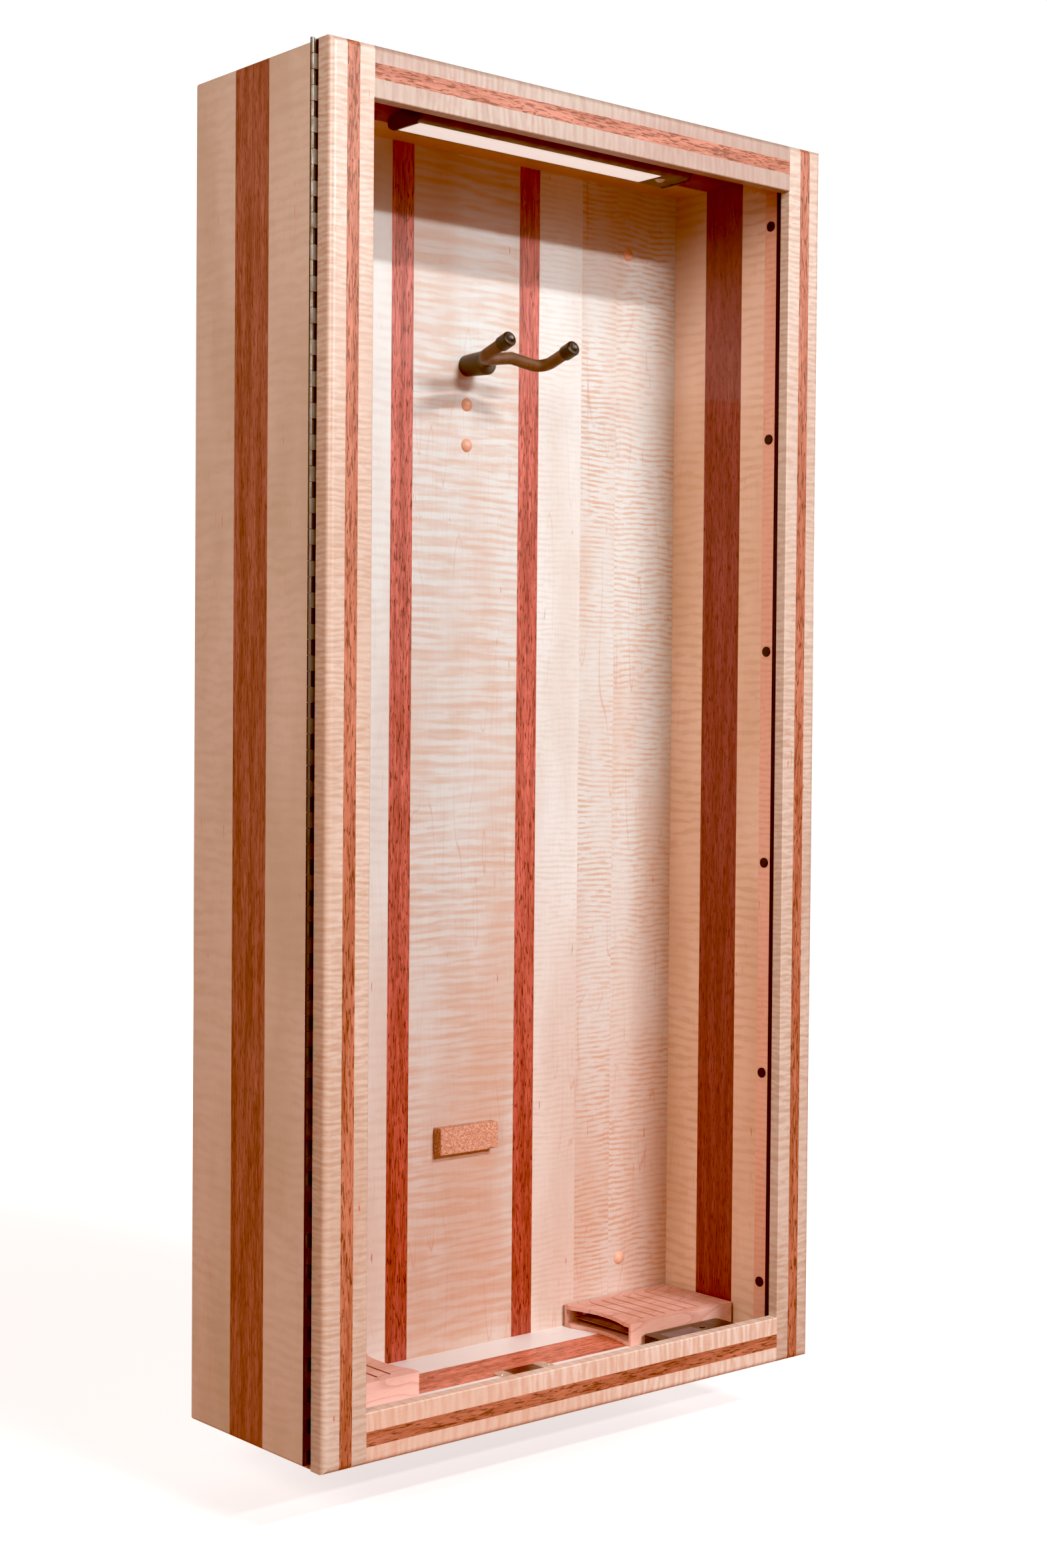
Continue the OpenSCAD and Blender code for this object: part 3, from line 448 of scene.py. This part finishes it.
def dress_panel():
    # Painted shade: the back boards turn darker and warmer towards the foot.
    low = (1.0, 0.77, 0.70)
    dress(maple("panel plain", "Z", *PLAIN_BOARD, [(0.010, 0.05)], 31, 0.3, 0.7, low),
          "back_board_left")
    dress(maple("panel wavy", "Z", *CURLED_BOARD, [(0.015, 0.10), (0.0075, 0.06)], 33, 0.5, 1.0, low),
          "back_board_centre")
    dress(maple("panel soft", "Z", *PLAIN_BOARD, [(0.0055, 0.035)], 36, 0.40, 1.0, low),
          "back_board_plain")
    dress(maple("panel curled", "Z", *CURLED_BOARD, [(0.0052, 0.035)], 38, 0.85, 1.1, low),
          "back_board_curl")
    dress(maple("panel fine", "Z", *CURLED_BOARD, [(0.0056, 0.030)], 41, 0.8, 1.1, low),
          "back_board_fine")
    # Painted shade on the back's mahogany stripes, darker towards the foot.
    dress(mahogany("panel mahogany", "Z", *PANEL_MAHOGANY, 44, low=(0.8, 0.55, 0.5)),
          "back_stripes")


def dress_door():
    stile = [(0.0078, 0.030), (0.0046, 0.020)]
    dress(maple("left stile maple", "Z", *STILE_MAPLE_PAINTED_SHADE, stile, 51, 0.45, 0.5),
          "stile_left_maple")
    dress(maple("right stile maple", "Z", *STILE_MAPLE_PAINTED_SHADE, [(0.010, 0.028), (0.0050, 0.020)], 53, 0.45, 0.5),
          "stile_right_maple")
    dress(maple("top rail maple", "X", *TOP_RAIL_MAPLE_PAINTED_SHADE, [(0.012, 0.05), (0.0060, 0.03)], 56, 0.42, 0.5),
          "rail_top_maple")
    dress(maple("bottom rail maple", "X", *PALE_RAIL_MAPLE, [(0.0066, 0.04), (0.013, 0.05)], 58, 0.5, 0.5),
          "rail_bottom_maple")
    dress(mahogany("stile mahogany", "Z", *FRAME_MAHOGANY, 61), "stile_left_stripe",
          "stile_right_stripe")
    dress(mahogany("rail mahogany", "X", *FRAME_MAHOGANY, 63), "rail_top_stripe",
          "rail_bottom_stripe")
    dress(maple("bead maple", "Z", *BEAD_MAPLE, [(0.008, 0.02)], 66), "glass_beads")
    dress(pane_glass("pane"), "door_glass")


def dress_fittings():
    dress(maple("button beech", "Z", *BUTTON_BEECH, [(0.004, 0.004)], 71, 0.4), "screw_buttons")
    dress(moulded("seal rubber", rgb(14, 13, 12), rgb(24, 22, 20), 0.55), "strike_seal")
    dress(moulded("cover plastic", rgb(16, 15, 15), rgb(30, 28, 27), 0.35), "strike_covers")
    dress(hinge_metal("hinge plate"), "hinge_leaf_case", "hinge_leaf_door", "hinge_pin")
    dress(worn_metal("screw steel", rgb(190, 186, 178), rgb(140, 134, 124)),
          "hinge_screws_case", "hinge_screws_door")
    dress(worn_metal("strip steel", rgb(120, 118, 114), rgb(90, 88, 84), grain="X"), "light_magnet_strip")
    dress(worn_metal("rod steel", rgb(180, 176, 170), rgb(130, 126, 120), grain="Y"), "yoke_rod")
    dress(moulded("collar paint", rgb(52, 46, 32), rgb(66, 58, 40), 0.42, depth=0.0001), "hanger_collar")
    dress(moulded("set screw", rgb(30, 30, 30), rgb(50, 48, 46), 0.3), "hanger_grub_screw")
    dress(moulded("sleeve rubber", rgb(112, 80, 60), rgb(88, 62, 46), 0.5, depth=0.0001), "yoke_sleeve")
    dress(moulded("cap rubber", rgb(20, 20, 17), rgb(32, 30, 26), 0.33), "yoke_caps")
    dress(plate_finish("plate"), "name_plate")
    dress(worn_metal("pin metal", rgb(240, 236, 226), rgb(200, 194, 180), roughness=0.18), "plate_pins")


def dress_light():
    dress(moulded("light body", rgb(112, 92, 56), rgb(92, 74, 42), 0.5), "light_housing")
    dress(lit_diffuser("light diffuser"), "light_diffuser")
    dress(moulded("light cap", rgb(78, 68, 44), rgb(60, 52, 34), 0.5), "light_end_caps")
    dress(moulded("sensor lens", rgb(232, 206, 200), rgb(208, 180, 174), 0.2), "light_sensor")


def dress_floor_pieces():
    dress(cedar("right cedar", "X", 3, 0.86), "holder_right")
    dress(cedar("left cedar", "X", 9), "holder_left")
    dress(moulded("meter case", rgb(30, 29, 18), rgb(20, 20, 14), 0.10, depth=0.00001), "hygrometer_case")
    dress(moulded("meter window", rgb(92, 90, 96), rgb(80, 78, 84), 0.08, depth=0.00001), "hygrometer_window")
    dress(moulded("meter button", rgb(34, 35, 40), rgb(50, 52, 58), 0.18), "hygrometer_button")


# ---------- pieces made here ----------

def new_piece(name, shape, body, stands_for, material):
    """A mesh piece made from a bmesh, in place of the named CAD nodes."""
    mesh = bpy.data.meshes.new(name)
    shape.to_mesh(mesh)
    shape.free()
    for face in mesh.polygons:
        face.use_smooth = True
    piece = bpy.data.objects.new(name, mesh)
    bpy.context.scene.collection.objects.link(piece)
    mesh.materials.append(material)
    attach(piece, body)
    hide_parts(*stands_for)
    return piece


def grid_block(low, high, step):
    """A closed box with its faces cut into squares of about step metres."""
    shape = bmesh.new()
    size = high - low
    counts = [max(2, round(s / step)) for s in size]
    corners = {}

    def corner(i, j, k):
        key = (i, j, k)
        if key not in corners:
            part = Vector((i / counts[0], j / counts[1], k / counts[2]))
            corners[key] = shape.verts.new(low + Vector(p * s for p, s in zip(part, size)))
        return corners[key]

    for axis in range(3):
        u, v = [a for a in range(3) if a != axis]
        for level in (0, counts[axis]):
            for i in range(counts[u]):
                for j in range(counts[v]):
                    ring = []
                    for di, dj in ((0, 0), (1, 0), (1, 1), (0, 1)):
                        spot = [0, 0, 0]
                        spot[axis], spot[u], spot[v] = level, i + di, j + dj
                        ring.append(corner(*spot))
                    shape.faces.new(ring)
    bmesh.ops.recalc_face_normals(shape, faces=shape.faces)
    return shape


def make_cork_pad():
    """The rest pad, with softened edges that have lost a few crumbs."""
    low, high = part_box("rest_pad")
    shape = grid_block(low, high, 0.0011)
    centre = (low + high) / 2
    half = (high - low) / 2
    soft = 0.0011
    for vert in shape.verts:
        away = vert.co - centre
        inner = Vector(max(-h + soft, min(h - soft, a)) for a, h in zip(away, half))
        out = away - inner
        if out.length > 0:
            out = out.normalized() * soft
        crumb = noise.noise(vert.co * 420) * 0.00028 + noise.noise(vert.co * 900) * 0.00016
        on_edge = sum(1 for a, i in zip(away, inner) if abs(a - i) > 1e-6) > 1
        chip = max(0.0, noise.noise(vert.co * 160 + Vector((7, 3, 1))) - 0.15) * (0.0022 if on_edge else 0.0)
        vert.co = centre + inner + out * (1 - (0.00030 - crumb + chip) / soft)
        vert.co.y = min(vert.co.y, high.y)
    new_piece("cork_pad", shape, "cabinet", ["rest_pad"], cork("cork"))


def make_pack(node, body):
    """A filled paper pouch: crowned in the middle, creased towards its flat sealed ends."""
    low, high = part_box(node)
    centre = (low + high) / 2
    half = (high - low) / 2
    across, along = 56, 72
    seam = 0.06
    shape = bmesh.new()
    sheets = []
    for side in (1, -1):
        rows = []
        for i in range(along + 1):
            t = -1 + 2 * i / along
            row = []
            for j in range(across + 1):
                s = -1 + 2 * j / across
                crown = 0
                if abs(t) <= 1 - seam and abs(s) < 1:
                    crown = (1 - abs(t) ** 3.2) ** 0.55 * (1 - abs(s) ** 2.6) ** 0.62
                pull = 1 - 0.035 * (1 - abs(t) ** 4)
                spot = Vector((centre.x + t * half.x, centre.y + s * half.y * pull, 0))
                crease = noise.noise(Vector((spot.x * 60, spot.y * 190, side * 3)))
                crease += 0.5 * noise.noise(Vector((spot.x * 150, spot.y * 420, side * 5)))
                depth = 0.0004 + crown * (half.z - 0.0012) + crown ** 0.5 * 0.0007 * crease
                spot.z = centre.z + side * min(depth, half.z)
                row.append(shape.verts.new(spot))
            rows.append(row)
        sheets.append(rows)
        for i in range(along):
            for j in range(across):
                shape.faces.new((rows[i][j], rows[i + 1][j], rows[i + 1][j + 1], rows[i][j + 1]))
    top, bottom = sheets
    for i in range(along):
        for j in (0, across):
            shape.faces.new((top[i][j], top[i + 1][j], bottom[i + 1][j], bottom[i][j]))
    for j in range(across):
        for i in (0, along):
            shape.faces.new((top[i][j], top[i][j + 1], bottom[i][j + 1], bottom[i][j]))
    bmesh.ops.recalc_face_normals(shape, faces=shape.faces)
    piece = new_piece(node + "_pouch", shape, body, [node], paper(node + " paper"))


# ---------- stage, lights and camera ----------

def make_camera():
    """A camera level with the cabinet's middle, to the left of its front."""
    camera = bpy.data.objects.new("camera", bpy.data.cameras.new("camera"))
    bpy.context.scene.collection.objects.link(camera)
    yaw, pitch, roll = math.radians(40.356), math.radians(-1.548), math.radians(0.468)
    ahead = Vector((math.sin(yaw), math.cos(yaw), 0))
    right = Vector((math.cos(yaw), -math.sin(yaw), 0))
    up = Vector((0, 0, 1))
    look = ahead * math.cos(pitch) + up * math.sin(pitch)
    top = up * math.cos(pitch) - ahead * math.sin(pitch)
    side = right * math.cos(roll) + top * math.sin(roll)
    top = top * math.cos(roll) - right * math.sin(roll)
    place = Matrix.Translation((-1.3663, -1.7113, 0.0328))
    camera.matrix_world = place @ Matrix((side, top, -look)).transposed().to_4x4()
    camera.data.lens = 52.93
    camera.data.sensor_width = 36
    bpy.context.scene.camera = camera


def make_light(name, direction, distance, width, height, power, colour=(1, 1, 1)):
    """A soft oblong lamp that looks at the cabinet's middle from a direction."""
    lamp = bpy.data.lights.new(name, "AREA")
    lamp.shape = "RECTANGLE"
    lamp.size = width
    lamp.size_y = height
    lamp.energy = power
    lamp.color = colour
    light = bpy.data.objects.new(name, lamp)
    bpy.context.scene.collection.objects.link(light)
    away = Vector(direction).normalized()
    light.location = away * distance
    light.rotation_mode = "QUATERNION"
    light.rotation_quaternion = away.to_track_quat("Z", "Y")
    return light


def make_stage():
    """A pale floor under the cabinet and a white surround. To the camera only, the floor glows as painted
    light, dimmer near the cabinet as painted shade and white further out.
    """
    gap = 0.06
    low = cad_low.z - gap
    mesh = bpy.data.meshes.new("stage_floor")
    reach = 14
    corners = [(-reach, -reach, low), (reach, -reach, low), (reach, reach, low), (-reach, reach, low)]
    mesh.from_pydata(corners, [], [(0, 1, 2, 3)])
    floor = bpy.data.objects.new("stage_floor", mesh)
    bpy.context.scene.collection.objects.link(floor)
    pale = Shader("stage", Roughness=0.9, Specular_IOR_Level=0.0, Emission_Color=(1.0, 1.0, 1.0, 1.0))
    seen = camera_only(pale.tree)
    pale.set("Base Color", pale.mix(seen, (0.44, 0.165, 0.09), (0.5, 0.5, 0.5)))
    away = pale.add("ShaderNodeVectorMath", operation="LENGTH")
    pale.put(away.inputs[0], pale.place)
    # Painted light that only the camera sees: the floor's glow, weaker near the cabinet, a painted shade
    # there.
    painted_glow_fade = pale.between(away.outputs["Value"], 0.9, 3.6, 0.66, 1.0)
    pale.set("Emission Strength", pale.maths("MULTIPLY", painted_glow_fade, seen))
    mesh.materials.append(pale.material)
    world = bpy.data.worlds.new("surround")
    bpy.context.scene.world = world
    world.use_nodes = True
    sky = world.node_tree.nodes["Background"]
    tint = world.node_tree.nodes.new("ShaderNodeMix")
    tint.data_type = "RGBA"
    tint.inputs[6].default_value = (0.17, 0.050, 0.024, 1)
    tint.inputs[7].default_value = (1.05, 1.05, 1.05, 1)
    world.node_tree.links.new(camera_only(world.node_tree), tint.inputs[0])
    world.node_tree.links.new(tint.outputs[2], sky.inputs["Color"])


def make_lights():
    make_light("key_low", (0.06, -1, 0.36), 4.0, 1.1, 0.10, 73)
    make_light("key_high", (0.12, -1, 0.60), 4.2, 1.1, 0.10, 92)
    make_light("left_fill", (-1, -0.55, 0.42), 3.2, 1.1, 1.1, 64, (1.0, 0.88, 0.80))
    make_light("right_fill", (1, 0.22, 0.30), 3.5, 1.6, 1.6, 44)
    make_light("back_fill", (0.30, 1, 0.30), 4.0, 1.6, 1.6, 60)
    sheen = make_light("sheen", (1.05, -1.35, 0.75), 3.4, 1.3, 1.3, 34)
    sheen.visible_diffuse = False


def set_tone():
    """Plain display colours, with a raised black point that keeps the shade warm."""
    tone = bpy.context.scene.view_settings
    tone.view_transform = "Standard"
    tone.use_curve_mapping = True
    tone.curve_mapping.black_level = (0.004, 0.032, 0.046)
    tone.curve_mapping.update()


set_tone()
make_camera()
make_stage()
make_lights()
dress_case()
dress_panel()
dress_door()
dress_fittings()
dress_light()
dress_floor_pieces()
make_cork_pad()
make_pack("pack_right", "right_pack")
make_pack("pack_left", "left_pack")
